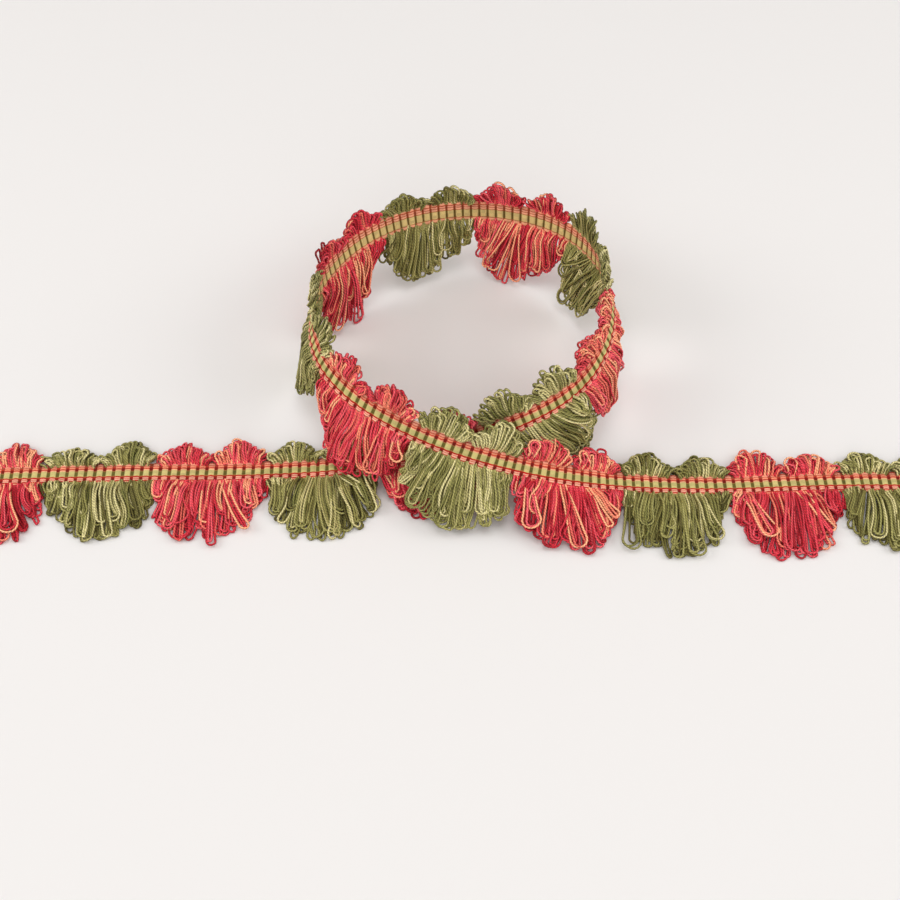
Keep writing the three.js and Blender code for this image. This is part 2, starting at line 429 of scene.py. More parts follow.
def headingSide(look, name, at, ribs):
    # one side of the band as a grid, from its upper edge to its lower one
    width = trim["headingWidth"]
    across = np.linspace(0, 1, look[name]["columns"])
    fromMiddle = 0.5 - across
    taper = np.clip(np.minimum(across, 1 - across) * width / trim["shoulder"], 0, 1) ** 0.5
    relief = weaveRelief(look[name], across, ribs, look)
    sign = 1
    if name == "reverse":
        relief = relief * np.clip(at["lift"] / look["flatBelow"], 0, 1)[:, None]
        sign = -1
    depth = sign * (trim["headingThickness"] / 2 + relief) * taper
    atEdges = np.abs(2 * fromMiddle) ** look["waveSteepness"]
    wave = look["edgeWave"] * (ribRise(ribs, look["waveRibShare"])[:, None] - 1) * atEdges
    offAxis = width * fromMiddle + np.sign(fromMiddle) * wave
    return (at["center"][:, None] + at["up"][:, None] * offAxis[..., None]
            + at["face"][:, None] * depth[..., None])


def capEnds(piece, corners):
    shape = bmesh.new()
    shape.from_mesh(piece.data)
    shape.verts.ensure_lookup_table()
    total = len(shape.verts)
    shape.faces.new([shape.verts[i] for i in range(corners)])
    shape.faces.new([shape.verts[i] for i in range(total - 1, total - corners - 1, -1)])
    bmesh.ops.recalc_face_normals(shape, faces=shape.faces)
    shape.to_mesh(piece.data)
    shape.free()


def smoothOut(piece, degrees):
    bpy.ops.object.select_all(action="DESELECT")
    piece.select_set(True)
    bpy.context.view_layer.objects.active = piece
    bpy.ops.object.shade_smooth_by_angle(angle=math.radians(degrees))


def makeHeading(look):
    ribCount = trim["fanCount"] * trim["ribsPerFan"]
    ribs = np.linspace(0, ribCount, ribCount * look["rowsPerRib"] + 1)
    at = stationAt(ribs / trim["ribsPerFan"])
    face, reverse = (headingSide(look, name, at, ribs) for name in ("face", "reverse"))
    ring = np.concatenate((face, reverse[:, -2:0:-1]), axis=1)
    faceMap = np.linspace(mapInset, 1 - mapInset, look["face"]["columns"])
    reverseMap = reverseStart + np.linspace(1 - mapInset, mapInset, look["reverse"]["columns"])[1:]
    piece = meshFromGrid("headingWeave", ring[None], ribs[None], np.concatenate((faceMap, reverseMap)))
    capEnds(piece, ring.shape[1])
    smoothOut(piece, look["creaseAngle"])
    piece.data.materials.append(headingMaterial(look))
    return piece


# Loop surfaces: where cloth under or over the heading would lie, as a grid to read from
surfaceGrid = {
    "rowsPerFan": 16,
    "stepDown": 0.75,
    "lowerReach": 36.0,
    "upperReach": 14.0,
    "turnWithin": 7.0,
    "settle": 0.5,
}


def lowerSurface(grid):
    # steps down from the heading's lower edge, and out along the floor where it lies
    fans = evenFans(grid["rowsPerFan"])
    at = stationAt(fans)
    steep = at["flare"] > standingAngle
    floor = np.interp(fans, underlay["fan"], underlay["height"]) + trim["yarnRadius"]
    point = at["center"] - at["up"] * trim["headingWidth"] / 2
    layers = [point]
    for i in range(int(grid["lowerReach"] / grid["stepDown"])):
        turn = min((i + 0.5) * grid["stepDown"] / grid["turnWithin"], 1.0)
        back = tilted(at["side"], at["along"], at["lean"] + (at["flare"] - at["lean"]) * turn)
        step = -back * grid["stepDown"]
        room = np.minimum(floor - point[:, 2], 0)
        fall = np.where(steep, step[:, 2], np.maximum(step[:, 2], room * grid["settle"]))
        slide = np.sqrt(np.maximum(grid["stepDown"] ** 2 - fall**2, 0))
        level = unit(step * (1, 1, 0) + 1e-9)  # the small sum keeps a plumb step from dividing by 0
        point = point + level * slide[:, None]
        point[:, 2] += fall
        layers.append(point)
    return np.stack(layers, axis=1)


def upperSurface(grid):
    at = stationAt(evenFans(grid["rowsPerFan"]))
    start = at["center"] + at["up"] * trim["headingWidth"] / 2
    steps = np.arange(int(grid["upperReach"] / grid["stepDown"]) + 1) * grid["stepDown"]
    return start[:, None] + at["up"][:, None] * steps[None, :, None]


def readSurface(surface, fans, down, height, faceSign):
    # a place on a loop surface, raised to the face's side; before the first row
    # it runs on straight, so that a root can start inside the heading
    onPath = np.clip(fans, 0, trim["fanCount"])
    gridFans = onPath * surfaceGrid["rowsPerFan"]
    gridDown = down / surfaceGrid["stepDown"]
    i = np.clip(np.floor(gridFans).astype(int), 0, surface.shape[0] - 2)
    j = np.clip(np.floor(gridDown).astype(int), 0, surface.shape[1] - 2)
    u = (gridFans - i)[..., None]
    v = (gridDown - j)[..., None]
    a, b = surface[i, j], surface[i + 1, j]
    c, d = surface[i, j + 1], surface[i + 1, j + 1]
    place = (a * (1 - u) + b * u) * (1 - v) + (c * (1 - u) + d * u) * v
    alongWay = (b - a) * (1 - v) + (d - c) * v
    downWay = (c - a) * (1 - u) + (d - b) * u
    overrun = (fans - onPath)[..., None] * surfaceGrid["rowsPerFan"]
    normal = unit(np.cross(downWay, alongWay)) * faceSign
    return place + alongWay * overrun + normal * height[..., None], normal


# Yarn: hairpin loops as tubes. The rates and powers say how soon along its leg a loop
# rises, drops to its tip, rolls, curls and spreads; each wave is a count and a size.
# No yarn comes nearer to the floor than floorGap, in millimetres.
hairpinLook = {
    "riseRate": 2.6,
    "dropRate": 1.7,
    "rollRate": 2,
    "curlPower": 1.5,
    "spreadPower": 1.4,
    "waves": ((2, 0.45), (5, 0.12)),
    "waveDown": 0.5,
    "waveHeight": 0.6,
    "floorGap": 0.02,
}


def smoothStep(share):
    share = np.clip(share, 0, 1)
    return share * share * (3 - 2 * share)


def column(values):
    return np.asarray(values)[:, None]


def runningSum(steps):
    return np.concatenate((np.zeros((len(steps), 1)), np.cumsum(steps, axis=1)), axis=1)


def legAxis(loops, half, legShare):
    # the line between a loop's two legs: along, down, and which way it heads
    curl = column(loops["curl"]) * legShare ** hairpinLook["curlPower"]
    sway = column(loops["sway"]) * np.cos(2 * np.pi * legShare)
    heading = np.radians(column(loops["angle"]) + curl + sway)
    length = np.maximum(column(loops["reach"]) - half - column(loops["start"]), 1.0)
    step = length / (len(legShare) - 1)
    middle = (heading[:, 1:] + heading[:, :-1]) / 2
    along = column(loops["root"]) + runningSum(np.sin(middle) * step)
    down = column(loops["start"]) + runningSum(np.cos(middle) * step)
    return along, down, heading


def legLift(loops, legShare):
    # height over the loop surface: up from the root, and then to the tip's own
    root, leg, tip = (column(loops[name]) for name in ("rootHeight", "height", "tipHeight"))
    drop = hairpinLook["dropRate"]
    lift = root + (leg - root) * smoothStep(legShare * hairpinLook["riseRate"])
    return lift + (tip - leg) * smoothStep(legShare * drop - (drop - 1))


def roundBend(leg, bendRows):
    # a leg's values, held round the bend and taken back up the other leg
    return np.concatenate((leg, np.repeat(leg[:, -1:], bendRows, axis=1), leg[:, ::-1]), axis=1)


def wobble(along, down, height, loose, rng):
    # slow and quick waves, so that no loop lies quite even
    t = np.linspace(0, 1, along.shape[1])[None]
    fade = np.sin(np.pi * t) ** 0.5 * column(loose)
    for waves, size in hairpinLook["waves"]:
        phase = rng.uniform(0, 2 * np.pi, (3, len(along), 1))
        sway = size * fade * np.sin(2 * np.pi * waves * t + phase)
        along = along + sway[0]
        down = down + hairpinLook["waveDown"] * sway[1]
        height = height + hairpinLook["waveHeight"] * sway[2]
    return along, down, height


def hairpin(loops, legRows, bendRows, rng):
    # one row of places for each loop: down one leg, round the bend and up the other
    legShare = np.linspace(0, 1, legRows)
    bend = np.linspace(math.pi, 0, bendRows + 2)[1:-1]
    half = column(loops["width"]) / 2
    gap = column(loops["gap"]) / 2
    spread = gap + (half - gap) * legShare ** hairpinLook["spreadPower"]
    leg = (*legAxis(loops, half, legShare), legLift(loops, legShare), legShare[None])
    along, down, turn, lift, share = (roundBend(values, bendRows) for values in leg)
    lateral = np.concatenate((-spread, half * np.cos(bend), spread[:, ::-1]), axis=1)
    forward = np.concatenate((0 * spread, half * np.sin(bend), 0 * spread), axis=1)
    roll = np.radians(column(loops["roll"])) * smoothStep(share * hairpinLook["rollRate"])
    height = lift + lateral * np.sin(roll)
    lateral = lateral * np.cos(roll)
    along = along + lateral * np.cos(turn) + forward * np.sin(turn)
    down = down - lateral * np.sin(turn) + forward * np.cos(turn)
    return wobble(along, down, height, loops["loose"], rng)


# Strands of a bundle: how far apart they nest, and how unevenly each one lies.
# pitch is in yarn radii, the loop's gap and width grow and shrink in pitches.
nestLook = {
    "pitch": 2.1,
    "gapGrowth": 1.2,
    "widthLoss": 1.9,
    "spreads": {"width": 0.3, "reach": 0.5, "root": 0.4, "angle": 1.2, "curl": 2.5,
                "height": 0.25, "roll": 7},
}


def nestStrands(bundles, strands, rng):
    # each bundle becomes strands lying loosely one inside the other
    which = np.repeat(np.arange(len(strands)), strands)
    inner = np.concatenate([np.arange(n) for n in strands])
    outerCount = np.repeat(strands, strands) - 1 - inner
    loops = {name: values[which] for name, values in bundles.items()}
    pitch = nestLook["pitch"] * trim["yarnRadius"]
    loops["gap"] = loops["gap"] + nestLook["gapGrowth"] * pitch * outerCount
    loops["width"] = loops["width"] - nestLook["widthLoss"] * pitch * inner
    loops["reach"] = loops["reach"] - pitch * inner
    for name, spread in nestLook["spreads"].items():
        loops[name] = loops[name] + rng.normal(0, spread, len(which))
    loops["width"] = np.maximum(loops["width"], pitch)
    fresh = rng.uniform(loops["toneLow"], loops["toneHigh"])
    loops["tone"] = np.where(inner > 0, fresh, loops["tone"])
    return loops


def tubes(name, centers, normals, sides, tone):
    # centers and normals: strands x rows x 3, in millimetres
    ways = unit(np.gradient(centers, axis=1))
    out = unit(normals - ways * np.sum(normals * ways, axis=-1, keepdims=True))
    across = np.cross(ways, out)
    turn = np.linspace(0, 2 * math.pi, sides, endpoint=False)[:, None]
    ring = out[:, :, None] * np.cos(turn) + across[:, :, None] * np.sin(turn)
    points = centers[:, :, None] + ring * trim["yarnRadius"]
    points[..., 2] = np.maximum(points[..., 2], hairpinLook["floorGap"])
    run = runningSum(np.linalg.norm(np.diff(centers, axis=1), axis=-1))
    piece = meshFromGrid(name, points, run, np.linspace(0, 1, sides + 1), tone)
    for polygon in piece.data.polygons:
        polygon.use_smooth = True
    return piece


def placeLoops(name, fanIndex, loops, surface, faceSign, look, rng):
    along, down, height = hairpin(loops, look["legRows"], look["bendRows"], rng)
    fans = fanIndex + 0.5 + along / fanPitch(fanIndex)
    centers, normals = readSurface(surface, fans, down, height, faceSign)
    centers[..., 2] = np.maximum(centers[..., 2], trim["yarnRadius"])
    return tubes(name, centers, normals, look["sides"], loops["tone"])


# Yarn colours: each strand takes one place on its ramp, from its darkest to its palest
yarnLook = {
    "redCodes": ("8a0e1a", "a01824", "b42230", "c42e3c", "d03e4a", "dc5860", "c23640", "e47e64", "eaa27a"),
    "greenCodes": ("443e16", "585024", "686230", "78723c", "888248", "989258", "6c6a34", "aaa068", "c4ba84"),
    "twistLength": 2.6,
    "plies": 2,
    "heatherScale": 600.0,
    "fibreScale": 5000.0,
    "shades": {"paintedSideShade": 1.15, "twist": 0.9, "heather": 0.9, "fibre": 0.4, "offset": -0.84, "least": 0.1},
    "bump": {"strength": 0.9, "distance": 0.0002, "fibre": 0.35},
    "roughness": 0.45,
    "gloss": 0.3,
}


def yarnMaterial(name, codes, look):
    sheet = ShaderSheet(name)
    along, around = sheet.uv()
    tone = sheet.add("ShaderNodeAttribute", {"attribute_name": "tone"}, {}, 2)  # output 2 is Factor
    base = sheet.ramp(tone, evenStops(codes))
    # the ply twist: its ridges paint shade into the grooves between the plies and highlights onto their
    # crests, and also raise the bump
    turn = along * (look["plies"] / look["twistLength"]) + around * look["plies"]
    ply = sheet.ridges("SINE", turn * math.pi)
    # painted shade: strands are darker down their sides, where they press together and shade each other, and
    # lighter on their crowns
    paintedSideShade = sheet.ridges("COSINE", around * (2 * math.pi))
    heather = sheet.noise(look["heatherScale"], 3.0)
    fibre = sheet.noise(look["fibreScale"], 2.0)
    shades = look["shades"]
    shade = (paintedSideShade * shades["paintedSideShade"] + ply * shades["twist"] + heather * shades["heather"]
             + fibre * shades["fibre"] + shades["offset"])
    shade = sheet.math("MAXIMUM", shade, shades["least"])
    return sheet.finish(
        Base_Color=sheet.shaded(base, shade), Roughness=look["roughness"],
        Normal=sheet.bump(look["bump"], ply + fibre * look["bump"]["fibre"]),
        Specular_IOR_Level=look["gloss"])


# Lower fans: bundles in layers, each bundle a few strands nested one inside the other.
# The tuples of three go layer by layer, from the far side to the seen one. Lengths and
# heights are in millimetres, angles in degrees; a pair is a range, and roll's pair is a
# mean and a spread.
lowerLook = {
    "seed": 1100,
    "bundles": (22, 14, 9),
    "width": ((2.4, 3.8), (3.2, 5.2), (4.2, 6.8)),
    "reachShare": ((0.88, 1.0), (0.82, 1.0), (0.55, 0.97)),
    "layerHeight": (0.0, 1.1, 2.1),
    "strands": ((1, 2, 2), (2, 2, 3), (3, 3, 4)),
    "curl": (9, 17, 24),
    # the far layers keep to the darker tones: painted shade under the layers that lie over them
    "toneLow": (0.0, 0.0, 0.12),
    "toneHigh": (0.6, 0.9, 1.0),
    "legRows": 8,
    "bendRows": 6,
    "sides": 5,
    "arch": 0.7,
    "rootSpan": 0.96,
    "orderJitter": 0.35,
    "angleJitter": 6,
    "rootSpread": 1.2,
    "sideWidth": 0.55,
    "heightJitter": (-0.2, 0.3),
    "standingDrop": 1.0,
    "leastReach": 5.0,
    "counterCurl": 0.4,
    "angleSpread": 2,
    "swaySpread": 7,
    "gap": (1.0, 1.6),
    "start": -1.2,
    "rootHeight": (-0.4, 0.1),
    "legBulge": 0.4,
    "tipHeightShare": 0.7,
    "roll": (0, 16),
    "loose": (0.3, 0.9),
}

# Each fan as it has fallen. reach: how far its loops lie from the middle of its root, in
# millimetres, at the angles below. lean: degrees its loops are swept along the heading.
# bulge: how far they stand off at the fan's two ends. seen: the side that shows, -1 for
# the inside of the ring. Last, the part of the yarn's colours that each fan takes; the standing
# fans 6, 7, 8, 12 and 14 take a paler part, which is painted light on them.
reachAngles = (-75, -50, -25, 0, 25, 50, 75)
evenFan = {"reach": (22, 26, 28, 29, 28, 26, 22), "lean": 0, "bulge": (0, 0), "seen": 1, "tonesAndPaintedLight": (0, 1)}
fanShapes = {
    1: {"reach": (22, 26, 29, 31, 32, 31, 26)},
    2: {"reach": (23, 24, 25, 29, 29, 30, 24), "lean": 5},
    3: {"reach": (22, 29, 31, 28, 28, 25, 25)},
    4: {"reach": (21, 27, 30, 30, 30, 29, 23), "lean": 2},
    5: {"reach": (20, 24, 25, 26, 26, 25, 22)},
    6: {"reach": (20, 24, 28, 30, 32, 29, 20), "lean": 24, "bulge": (3, 3), "tonesAndPaintedLight": (0.4, 1)},
    7: {"reach": (26, 26, 27, 27, 22, 18, 14), "bulge": (6, -3), "tonesAndPaintedLight": (0.45, 0.95)},
    8: {"reach": (14, 14, 18, 26, 31, 25, 21), "lean": 6, "bulge": (-3, -3), "seen": -1, "tonesAndPaintedLight": (0.3, 1)},
    9: {"reach": (26, 24, 25, 27, 32, 29, 23), "lean": 8, "bulge": (-1, -1), "seen": -1},
    10: {"reach": (22, 23, 19, 22, 27, 29, 24), "lean": 16, "bulge": (-1, -1), "seen": -1},
    11: {"reach": (22, 14, 17, 28, 38, 32, 23), "lean": 20, "seen": -1},
    12: {"reach": (20, 22, 26, 29, 28, 27, 25), "lean": 4, "tonesAndPaintedLight": (0.4, 1)},
    13: {"reach": (20, 20, 23, 29, 29, 28, 23), "lean": 6, "tonesAndPaintedLight": (0.1, 0.95)},
    14: {"reach": (22, 27, 28, 29, 28, 27, 20), "tonesAndPaintedLight": (0.4, 1)},
    15: {"reach": (24, 26, 27, 28, 29, 25, 24)},
    16: {"reach": (22, 28, 29, 31, 28, 23, 20), "lean": -4},
    17: {"reach": (25, 27, 32, 32, 30, 24, 25), "lean": -6},
    18: {"reach": (22, 30, 30, 29, 28, 26, 22)},
}


def fanShape(fanIndex):
    return evenFan | fanShapes[fanIndex + 1]


def fanPitch(fanIndex, curveShare=1.01):
    # one fan's length along the heading: its chord and a little for the path's curve
    ends = stationAt(np.array((fanIndex, fanIndex + 1.0)))["center"]
    return np.linalg.norm(ends[1] - ends[0]) * curveShare


def standingReach(at, leastRise=0.3):
    # down the loop surface to the floor under each place on the path
    back = tilted(at["side"], at["along"], at["flare"])
    start = at["center"][..., 2] - at["up"][..., 2] * trim["headingWidth"] / 2
    return (start - trim["yarnRadius"]) / np.maximum(back[..., 2], leastRise)


def layersOf(look):
    # which layer each bundle is in, and its order there
    layer = np.repeat(np.arange(len(look["bundles"])), look["bundles"])
    return layer, np.concatenate([np.arange(n) for n in look["bundles"]])


def orderShares(look, layer, order, rng):
    # where each bundle stands in its layer, from -1 at one end to 1 at the other
    jitter = rng.uniform(-look["orderJitter"], look["orderJitter"], len(layer))
    return (order + 0.5 + jitter) / np.array(look["bundles"])[layer] * 2 - 1


def drawByLayer(ranges, layer, rng):
    bounds = np.array(ranges)[layer]
    return rng.uniform(bounds[:, 0], bounds[:, 1])


def layerHeights(look, layer, standing, rng):
    height = np.array(look["layerHeight"])[layer] + rng.uniform(*look["heightJitter"], len(layer))
    return height - look["standingDrop"] * standing


def toneAndNest(bundles, look, tonesAndPaintedLight, layer, rng):
    low, high = tonesAndPaintedLight
    # each layer takes its part of the fan's tones; the far layers' darker part is painted shade, and a
    # standing fan's paler range is painted light
    bundles["toneLow"] = low + (1 - low) * np.array(look["toneLow"])[layer]
    bundles["toneHigh"] = high * np.array(look["toneHigh"])[layer]
    bundles["tone"] = rng.uniform(bundles["toneLow"], bundles["toneHigh"])
    choices = np.array(look["strands"])
    strands = choices[layer, rng.integers(0, choices.shape[1], len(layer))]
    return nestStrands(bundles, strands, rng)


def rootsAndTips(shape, look, half, layer, share, at, rng):
    # the tips lie on the fan's own outline, the upper layers short of it
    count = len(layer)
    jitter = rng.uniform(-look["angleJitter"], look["angleJitter"], count)
    angle = reachAngles[-1] * share + shape["lean"] * (1 - share**2) + jitter
    reach = np.interp(angle, reachAngles, shape["reach"])
    angle = np.radians(angle)
    root = np.clip(share * half + rng.normal(0, look["rootSpread"], count), -half, half)
    sideWidth = look["sideWidth"]
    width = drawByLayer(look["width"], layer, rng) * (sideWidth + (1 - sideWidth) * np.cos(angle))
    tipAlong = (reach - width / 2) * np.sin(angle)
    tipDown = reach * np.cos(angle)
    onFloor = np.minimum(tipDown, standingReach(at))
    tipDown = np.where(at["flare"] > standingAngle, onFloor, tipDown)
    scale = drawByLayer(look["reachShare"], layer, rng)
    return root, width, (tipAlong - root) * scale, tipDown * scale


def lowerLoops(fanIndex, look, rng):
    shape = fanShape(fanIndex)
    seen = shape["seen"]
    layer, order = layersOf(look)
    count = len(layer)
    share = orderShares(look, layer, order, rng)
    at = stationAt(fanIndex + 0.5 + share / 2)
    half = fanPitch(fanIndex) / 2 * look["rootSpan"]
    root, width, aside, tipDown = rootsAndTips(shape, look, half, layer, share, at, rng)
    height = layerHeights(look, layer, at["flare"] > standingAngle, rng) * seen
    bulge = np.interp(share, (-1, 1), shape["bulge"])
    curl = np.array(look["curl"])[layer] * rng.normal(0, 1, count)
    turn = np.degrees(np.arctan2(aside, tipDown)) - look["counterCurl"] * curl
    bundles = {
        "root": root,
        "reach": np.maximum(np.hypot(tipDown, aside), look["leastReach"]),
        "angle": turn + rng.normal(0, look["angleSpread"], count),
        "curl": curl,
        "sway": rng.normal(0, look["swaySpread"], count),
        "width": width,
        "gap": rng.uniform(*look["gap"], count),
        "start": np.full(count, look["start"]),
        "rootHeight": rng.uniform(*look["rootHeight"], count) * seen,
        "height": height + look["arch"] * seen + look["legBulge"] * bulge,
        "tipHeight": height * look["tipHeightShare"] + bulge,
        "roll": rng.normal(*look["roll"], count),
        "loose": rng.uniform(*look["loose"], count),
    }
    return toneAndNest(bundles, look, shape["tonesAndPaintedLight"], layer, rng)


# Upper scallops: two lobes to a fan, of curls that lean over each other. The values are
# as for the lower fans; curl turns a loop away from the middle of its lobe.
upperLook = {
    "seed": 2300,
    "bundles": (10, 8, 6),
    "width": ((2.6, 3.6), (3.0, 4.2), (3.6, 5.2)),
    "reachShare": ((0.93, 0.99), (0.9, 0.99), (0.7, 0.94)),
    "layerHeight": (0.2, 1.2, 2.0),
    "strands": ((1, 2, 2), (2, 2, 2), (2, 2, 3)),
    # the far layers keep to the darker tones: painted shade under the curls that lie over them
    "toneLow": (0.12, 0.18, 0.32),
    "toneHigh": (0.75, 0.97, 1.0),
    "legRows": 5,
    "bendRows": 6,
    "sides": 5,
    "notchShare": 0.34,
    "rootShare": 0.74,
    "orderJitter": 0.3,
    "sideWidth": 0.7,
    "heightJitter": (-0.2, 0.3),
    "standingDrop": 0.9,
    "leastReach": 3.2,
    "angleSpread": 5,
    "curl": 16,
    "curlSpread": 7,
    "swaySpread": 4,
    "gap": (1.0, 1.6),
    "start": -1.0,
    "rootHeight": (-0.3, 0.2),
    "arch": 0.5,
    "roll": (28, 10),
    "loose": (0.2, 0.5),
}

# How far each fan's two lobes stand out, as a share of the even length
evenLobes = (1.0, 1.0)
lobeShares = {
    1: (1.05, 1.15),
    2: (0.8, 1.1),
    3: (0.95, 1.08),
    4: (0.92, 0.9),
    6: (1.15, 1.1),
    7: (0.85, 0.8),
    8: (1.5, 1.35),
    9: (0.9, 0.88),
    10: (0.8, 0.76),
    11: (0.92, 0.78),
    13: (1.0, 1.05),
    14: (1.25, 1.3),
    15: (1.05, 0.88),
    16: (1.0, 0.9),
    17: (1.18, 0.9),
    18: (0.96, 0.96),
}


def upperLoops(fanIndex, look, rng):
    layer, order = (np.tile(values, 2) for values in layersOf(look))
    count = len(layer)
    lobe = np.repeat((-1, 1), count // 2)
    lobeLength = np.repeat(lobeShares.get(fanIndex + 1, evenLobes), count // 2) * trim["upperLength"]
    halfLobe = fanPitch(fanIndex) / 4
    share = orderShares(look, layer, order, rng)
    rise = np.cos(np.pi / 2 * share) ** 2
    scale = drawByLayer(look["reachShare"], layer, rng)
    tipUp = lobeLength * (look["notchShare"] + (1 - look["notchShare"]) * rise) * scale
    root = (lobe + share * look["rootShare"]) * halfLobe
    aside = (lobe + share) * halfLobe - root
    leaning = stationAt(fanIndex + 0.5 + root / halfLobe / 4)["lean"] > standingAngle
    height = layerHeights(look, layer, leaning, rng)
    sideWidth = look["sideWidth"]
    bundles = {
        "root": root,
        "reach": np.maximum(np.hypot(tipUp, aside), look["leastReach"]),
        "angle": np.degrees(np.arctan2(aside, tipUp)) + rng.normal(0, look["angleSpread"], count),
        "curl": look["curl"] * share + rng.normal(0, look["curlSpread"], count),
        "sway": rng.normal(0, look["swaySpread"], count),
        "width": drawByLayer(look["width"], layer, rng) * (sideWidth + (1 - sideWidth) * rise),
        "gap": rng.uniform(*look["gap"], count),
        "start": np.full(count, look["start"]),
        "rootHeight": rng.uniform(*look["rootHeight"], count),
        "height": height + look["arch"],
        "tipHeight": height,
        "roll": rng.normal(*look["roll"], count),
        "loose": rng.uniform(*look["loose"], count),
    }
    return toneAndNest(bundles, look, fanShape(fanIndex)["tonesAndPaintedLight"], layer, rng)


# Loose loops that stand out, one row each: fan, edge, strands, root, tip along and tip
# away from the heading, width, height over the fan and place in the yarn's colours
looseColumns = ("fan", "edge", "strands", "root", "tipAlong", "tipAway", "width", "height", "tone")
looseLoops = (
    (1, "lower", 2, 8, 14, 24, 8.0, 3.0, 0.92),
    (3, "lower", 1, -14, -11.5, 22, 9.5, 3.2, 0.66),
    (3, "lower", 2, 5, 16, 24, 3.6, 3.2, 0.93),
    (3, "lower", 2, 1, 3, 30, 3.0, 1.8, 0.2),
    (3, "lower", 3, -10, -8, 28, 9.0, 1.6, 0.25),
    (4, "lower", 1, 17, 21.5, 15.5, 4.0, 1.4, 0.8),
    (4, "lower", 2, 8, 20, 8, 2.6, 3.0, 0.95),
    (6, "lower", 1, 8, 24.5, 14, 4.5, 4.4, 0.4),
    (6, "lower", 1, 4, 16, 23, 4.5, 4.0, 0.25),
    (6, "lower", 1, 0, 10, 25, 4.0, 3.4, 0.6),
    (7, "lower", 1, -2, 10, 27, 1.8, 5.0, 0.55),
    (8, "lower", 2, 6, 19, 14, 7.0, -4.6, 0.2),
    (8, "lower", 2, 0, 14, 27, 7.5, -5.0, 0.6),
    (8, "lower", 1, -6, 0, 26, 6.5, -4.6, 0.75),
    (8, "lower", 1, 16, 2, 10, 1.8, -4.0, 0.95),
    (8, "lower", 2, -12, -4, 22, 5.0, -5.0, 0.45),
    (9, "lower", 2, 4, 16, 21.5, 6.6, -3.6, 0.93),
    (9, "lower", 1, 2, 1, 27.5, 6.5, -3.0, 0.84),
    (9, "lower", 2, -12, -16, 16.5, 4.0, -3.0, 0.7),
    (10, "lower", 2, 6, 16, 22, 5.5, -3.2, 0.3),
    (10, "lower", 2, 2, 4.5, 21, 5.5, -3.2, 0.7),
    (10, "lower", 1, 14, 27, 9, 4.5, -2.8, 0.15),
    (11, "lower", 1, -13, -4, 17, 4.6, -3.0, 0.8),
    (11, "lower", 2, 6, 16, 26, 5.0, -3.2, 0.93),
    (11, "lower", 2, 0, 4, 29, 5.0, -3.2, 0.4),
    (13, "lower", 2, 13, 17, 20, 6.0, 3.4, 0.8),
    (13, "lower", 1, 18, 22, 10, 5.0, 3.2, 0.9),
    (14, "lower", 2, -17, -17, 12, 5.5, 3.6, 0.75),
    (14, "lower", 3, -11, -12, 25, 8.0, 3.0, 0.7),
    (14, "lower", 3, 0, 1, 29, 7.5, 3.0, 0.55),
    (14, "lower", 1, 14, 21, 16, 5.0, 0.8, 0.5),
    (15, "lower", 2, -17.5, -13.5, 20.5, 7.0, 3.4, 0.94),
    (15, "lower", 2, -2, 5, 26.5, 6.4, 3.2, 0.94),
    (15, "lower", 2, 11, 20, 12.5, 3.6, 3.2, 0.94),
    (15, "lower", 1, 9, 17, 16.5, 3.0, 3.0, 0.98),
    (16, "lower", 3, -19, -19.5, 26, 8.4, 2.6, 0.7),
    (16, "lower", 2, 3, 6, 29, 6.0, 2.6, 0.45),
    (16, "lower", 2, 9, 14.5, 23.5, 6.0, 3.2, 0.85),
    (17, "lower", 3, -18, -10.5, 22, 7.0, 3.6, 0.94),
    (17, "lower", 2, -17, -16, 12, 4.5, 3.4, 0.62),
    (17, "lower", 3, -15, -17, 24, 6.0, 2.0, 0.2),
    (17, "lower", 1, 0, 1, 30.5, 4.4, 0.8, 0.1),
    (17, "lower", 1, 5, 8.5, 27, 4.0, 1.0, 0.12),
    (17, "lower", 2, 6, 14.5, 20.5, 3.2, 3.2, 0.93),
    (3, "upper", 2, 10, 10.5, 10, 3.6, 3.0, 0.95),
    (9, "upper", 2, 12, 12.5, 8, 4.2, 2.8, 0.95),
    (9, "upper", 1, 7, 7.5, 7, 4.0, 2.6, 0.92),
    (9, "upper", 2, -10, -10, 8, 3.6, 2.6, 0.9),
    (11, "upper", 1, 17, 18.5, 10, 3.6, 1.6, 0.02),
    (11, "upper", 1, 12, 13, 10, 3.0, 1.6, 0.02),
    (15, "upper", 2, -19, -19, 7, 5.0, 3.2, 0.93),
    (15, "upper", 2, 5, 5, 6, 4.6, 3.4, 0.93),
    (17, "upper", 2, 4, 4, 6, 5.0, 3.4, 0.93),
    (17, "upper", 2, -17, -17, 7.5, 5.0, 3.4, 0.93),
)

# What all the loose loops share. Each heads a part of the way to its tip and curls the rest.
looseLook = {
    "headingShare": 0.8,
    "curlShare": 0.5,
    "gap": 1.1,
    "start": -1.0,
    "rootHeight": 0.1,
    "tipDrop": 0.6,
    "loose": 0.6,
    "toneLow": 0.1,
    "toneHigh": 0.8,
}


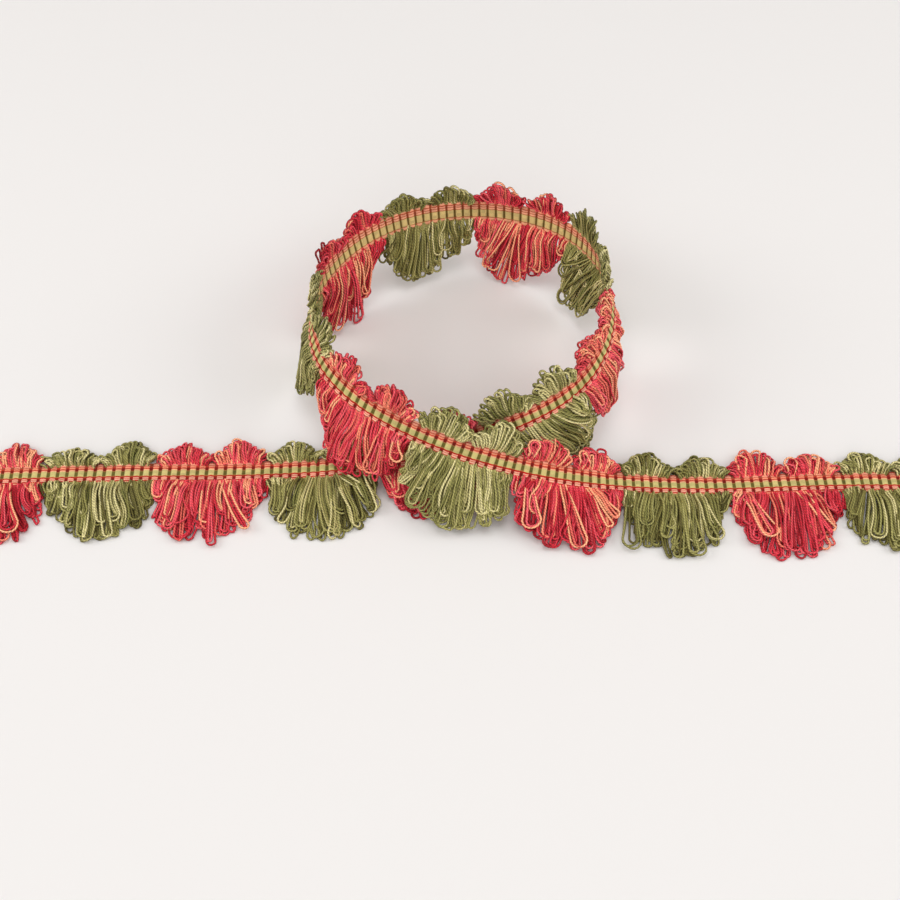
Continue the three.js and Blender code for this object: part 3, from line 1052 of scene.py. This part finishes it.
def addLoose(loops, fanIndex, edge, look, rng):
    # the fan's own loose loops join the rest of its strands
    rows = [dict(zip(looseColumns, row)) for row in looseLoops if row[:2] == (fanIndex + 1, edge)]
    if not rows:
        return loops
    value = {name: np.array([row[name] for row in rows], float) for name in looseColumns[3:]}
    aside = value["tipAlong"] - value["root"]
    seen = np.where(value["height"] < 0, -1.0, 1.0)
    turn = np.degrees(np.arctan2(aside, value["tipAway"]))
    none = np.zeros(len(rows))
    bundles = {
        "root": value["root"],
        "reach": np.hypot(value["tipAway"], aside),
        "angle": turn * look["headingShare"],
        "curl": turn * look["curlShare"],
        "sway": none,
        "width": value["width"],
        "rootHeight": look["rootHeight"] * seen,
        "height": value["height"],
        "tipHeight": value["height"] - look["tipDrop"] * seen,
        "roll": none,
        "tone": value["tone"],
    }
    for name in ("gap", "start", "loose", "toneLow", "toneHigh"):
        bundles[name] = none + look[name]
    extra = nestStrands(bundles, [row["strands"] for row in rows], rng)
    return {name: np.concatenate((loops[name], extra[name])) for name in loops}


heading = makeHeading(headingLook)
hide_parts("heading")
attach(heading, "root")
print("stage: heading woven,", len(heading.data.polygons), "faces")

yarnMaterials = {
    "red_yarn": yarnMaterial("redYarn", yarnLook["redCodes"], yarnLook),
    "green_yarn": yarnMaterial("greenYarn", yarnLook["greenCodes"], yarnLook),
}

# faceSign turns a loop surface's own normal to the side that the heading's face is on
edgeMakes = {
    "lower": {"piece": "lowerFan", "node": "fringe_", "look": lowerLook, "loops": lowerLoops,
              "surface": lowerSurface(surfaceGrid), "faceSign": 1},
    "upper": {"piece": "upperScallop", "node": "scallop_", "look": upperLook, "loops": upperLoops,
              "surface": upperSurface(surfaceGrid), "faceSign": -1},
}


def makeTuft(fanIndex, edge):
    make = edgeMakes[edge]
    look = make["look"]
    number = f"{fanIndex + 1:02d}"
    slotName = "red_yarn" if fanIndex % 2 == 0 else "green_yarn"
    rng = np.random.default_rng(look["seed"] + fanIndex)
    loops = addLoose(make["loops"](fanIndex, look, rng), fanIndex, edge, looseLook, rng)
    tuft = placeLoops(make["piece"] + number, fanIndex, loops, make["surface"], make["faceSign"], look, rng)
    tuft.data.materials.append(yarnMaterials[slotName])
    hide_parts(make["node"] + number)
    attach(tuft, "root")
    return tuft


tufts = [makeTuft(fanIndex, edge) for fanIndex in range(trim["fanCount"]) for edge in edgeMakes]
print("stage: fans and scallops looped,", sum(len(t.data.polygons) for t in tufts), "faces")


# Floor, light and view
stageLook = {
    "floorSize": 6.0,
    "floorCode": "f1eeec",
    "floorRoughness": 0.85,
    "worldCode": "f4f2f0",
    "worldStrength": 0.53,
    "lights": {
        "leftSoftbox": {"power": 6.4, "size": 0.8, "place": (-1.3, 0.0, 0.8)},
        "rightSoftbox": {"power": 5.8, "size": 0.8, "place": (1.3, 0.0, 0.8)},
        "topSoftbox": {"power": 5.8, "size": 0.9, "place": (0.0, -0.1, 1.5)},
        "frontSoftbox": {"power": 3.2, "size": 1.0, "place": (0.0, -1.3, 0.75)},
    },
}


def makeFloor(look):
    bpy.ops.object.select_all(action="DESELECT")
    bpy.ops.mesh.primitive_plane_add(size=look["floorSize"], location=(0, 0, 0))
    floor = bpy.context.active_object
    floor.name = "floor"
    paint = ShaderSheet("paleFloor").finish(
        Base_Color=colour(look["floorCode"]), Roughness=look["floorRoughness"])
    floor.data.materials.append(paint)


def makeLight(name, power, size, place):
    data = bpy.data.lights.new(name, "AREA")
    data.energy = power
    data.size = size
    light = bpy.data.objects.new(name, data)
    bpy.context.collection.objects.link(light)
    light.location = place
    light.rotation_euler = Vector(place).to_track_quat("Z", "Y").to_euler()


def makeWorld(look):
    world = bpy.data.worlds.new("paleRoom")
    bpy.context.scene.world = world
    world.use_nodes = True
    sockets = world.node_tree.nodes["Background"].inputs
    sockets["Color"].default_value = colour(look["worldCode"])
    sockets["Strength"].default_value = look["worldStrength"]


makeFloor(stageLook)
for lightName, light in stageLook["lights"].items():
    makeLight(lightName, **light)
makeWorld(stageLook)
bpy.context.scene.view_settings.view_transform = "Standard"
print("stage: floor and light set")
